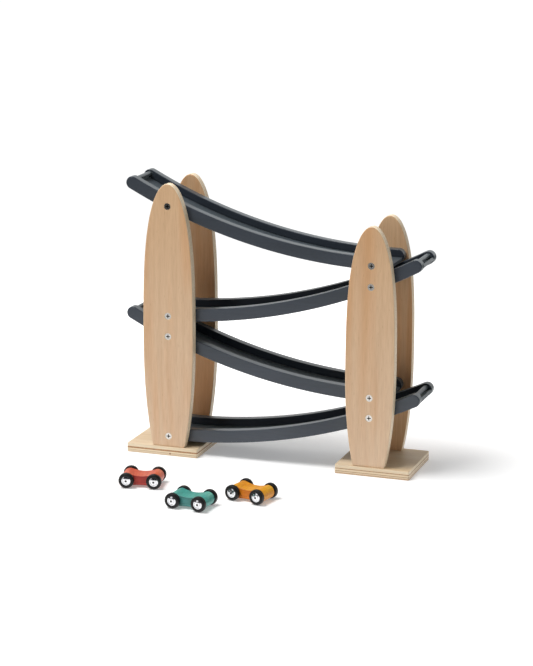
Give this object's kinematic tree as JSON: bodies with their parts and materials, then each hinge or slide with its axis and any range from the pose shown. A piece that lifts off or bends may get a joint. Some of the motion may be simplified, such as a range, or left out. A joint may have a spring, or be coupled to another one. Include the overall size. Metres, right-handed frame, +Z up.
{
  "type": "click clack track toy",
  "caption": "Wooden click clack track: curved chutes zigzag down between tall rounded plywood uprights, with little free-wheeling cars that run down them.",
  "frame": {"origin": "on the floor, under the middle of the whole set's box: frame, overhanging track ends and the cars in front", "axes": "+X to the right along the tracks as seen by the player, +Y away from the player through the depth of the frame, +Z up"},
  "size_m": [0.3204, 0.2515, 0.294],
  "materials": {
    "birch_ply": "clear-lacquered birch plywood, edges showing the plies",
    "track_paint": "satin slate blue-grey paint on wood",
    "screw_steel": "zinc-plated countersunk screws",
    "red_wood": "thin matt coral-red stain, grain showing",
    "green_wood": "thin matt teal-green stain, grain showing",
    "yellow_wood": "thin matt orange-yellow stain, grain showing",
    "axle_steel": "drawn steel wire",
    "hub_chrome": "bright chrome",
    "tyre_rubber": "matt black rubber"
  },
  "bodies": {
    "frame": {"base_plate_left": "birch_ply", "base_plate_right": "birch_ply", "upright_front_left": "birch_ply", "upright_front_right": "birch_ply", "upright_rear_left": "birch_ply", "upright_rear_right": "birch_ply", "track_1_front_rail": "track_paint", "track_1_rear_rail": "track_paint", "track_1_deck": "track_paint", "track_1_stop_pin": "track_paint", "track_2_front_rail": "track_paint", "track_2_rear_rail": "track_paint", "track_2_deck": "track_paint", "track_2_stop_pin": "track_paint", "track_3_front_rail": "track_paint", "track_3_rear_rail": "track_paint", "track_3_deck": "track_paint", "track_3_stop_pin": "track_paint", "track_4_front_rail": "track_paint", "track_4_rear_rail": "track_paint", "track_4_deck": "track_paint", "track_4_stop_pin": "track_paint", "front_side_screws": "screw_steel", "rear_side_screws": "screw_steel", "base_screws": "screw_steel"},
    "red_car": {"red_car_body": "red_wood"},
    "red_car_front_wheels": {"red_car_front_axle": "axle_steel", "red_car_front_left_tyre": "tyre_rubber", "red_car_front_left_hub": "hub_chrome", "red_car_front_right_tyre": "tyre_rubber", "red_car_front_right_hub": "hub_chrome"},
    "red_car_rear_wheels": {"red_car_rear_axle": "axle_steel", "red_car_rear_left_tyre": "tyre_rubber", "red_car_rear_left_hub": "hub_chrome", "red_car_rear_right_tyre": "tyre_rubber", "red_car_rear_right_hub": "hub_chrome"},
    "green_car": {"green_car_body": "green_wood"},
    "green_car_front_wheels": {"green_car_front_axle": "axle_steel", "green_car_front_left_tyre": "tyre_rubber", "green_car_front_left_hub": "hub_chrome", "green_car_front_right_tyre": "tyre_rubber", "green_car_front_right_hub": "hub_chrome"},
    "green_car_rear_wheels": {"green_car_rear_axle": "axle_steel", "green_car_rear_left_tyre": "tyre_rubber", "green_car_rear_left_hub": "hub_chrome", "green_car_rear_right_tyre": "tyre_rubber", "green_car_rear_right_hub": "hub_chrome"},
    "yellow_car": {"yellow_car_body": "yellow_wood"},
    "yellow_car_front_wheels": {"yellow_car_front_axle": "axle_steel", "yellow_car_front_left_tyre": "tyre_rubber", "yellow_car_front_left_hub": "hub_chrome", "yellow_car_front_right_tyre": "tyre_rubber", "yellow_car_front_right_hub": "hub_chrome"},
    "yellow_car_rear_wheels": {"yellow_car_rear_axle": "axle_steel", "yellow_car_rear_left_tyre": "tyre_rubber", "yellow_car_rear_left_hub": "hub_chrome", "yellow_car_rear_right_tyre": "tyre_rubber", "yellow_car_rear_right_hub": "hub_chrome"}
  },
  "joints": [
    {"name": "red_car_roll", "type": "slide", "parent": "frame", "child": "red_car", "axis": [0.9816, 0.1908, 0], "range_m": [-0.06, 0.02]},
    {"name": "red_car_front_axle_spin", "type": "hinge", "parent": "red_car", "child": "red_car_front_wheels", "pos_m": [-0.08276, -0.05592, 0.00785], "axis": [-0.1908, 0.9816, 0], "continuous": true},
    {"name": "red_car_rear_axle_spin", "type": "hinge", "parent": "red_car", "child": "red_car_rear_wheels", "pos_m": [-0.11044, -0.0613, 0.00785], "axis": [-0.1908, 0.9816, 0], "continuous": true},
    {"name": "green_car_roll", "type": "slide", "parent": "frame", "child": "green_car", "axis": [0.996, -0.0889, 0], "range_m": [-0.04, 0.04]},
    {"name": "green_car_front_axle_spin", "type": "hinge", "parent": "green_car", "child": "green_car_front_wheels", "pos_m": [-0.01115, -0.10916, 0.00785], "axis": [0.0889, 0.996, 0], "continuous": true},
    {"name": "green_car_rear_axle_spin", "type": "hinge", "parent": "green_car", "child": "green_car_rear_wheels", "pos_m": [-0.03924, -0.10665, 0.00785], "axis": [0.0889, 0.996, 0], "continuous": true},
    {"name": "yellow_car_roll", "type": "slide", "parent": "frame", "child": "yellow_car", "axis": [0.9767, -0.2147, 0], "range_m": [-0.015, 0.06]},
    {"name": "yellow_car_front_axle_spin", "type": "hinge", "parent": "yellow_car", "child": "yellow_car_front_wheels", "pos_m": [0.03637, -0.06893, 0.00785], "axis": [0.2147, 0.9767, 0], "continuous": true},
    {"name": "yellow_car_rear_axle_spin", "type": "hinge", "parent": "yellow_car", "child": "yellow_car_rear_wheels", "pos_m": [0.00883, -0.06288, 0.00785], "axis": [0.2147, 0.9767, 0], "continuous": true}
  ],
  "couplings": [
    {"joint": "red_car_front_axle_spin", "follows": "red_car_roll", "rad_per_m": 127.39},
    {"joint": "red_car_rear_axle_spin", "follows": "red_car_roll", "rad_per_m": 127.39},
    {"joint": "green_car_front_axle_spin", "follows": "green_car_roll", "rad_per_m": 127.39},
    {"joint": "green_car_rear_axle_spin", "follows": "green_car_roll", "rad_per_m": 127.39},
    {"joint": "yellow_car_front_axle_spin", "follows": "yellow_car_roll", "rad_per_m": 127.39},
    {"joint": "yellow_car_rear_axle_spin", "follows": "yellow_car_roll", "rad_per_m": 127.39}
  ]
}
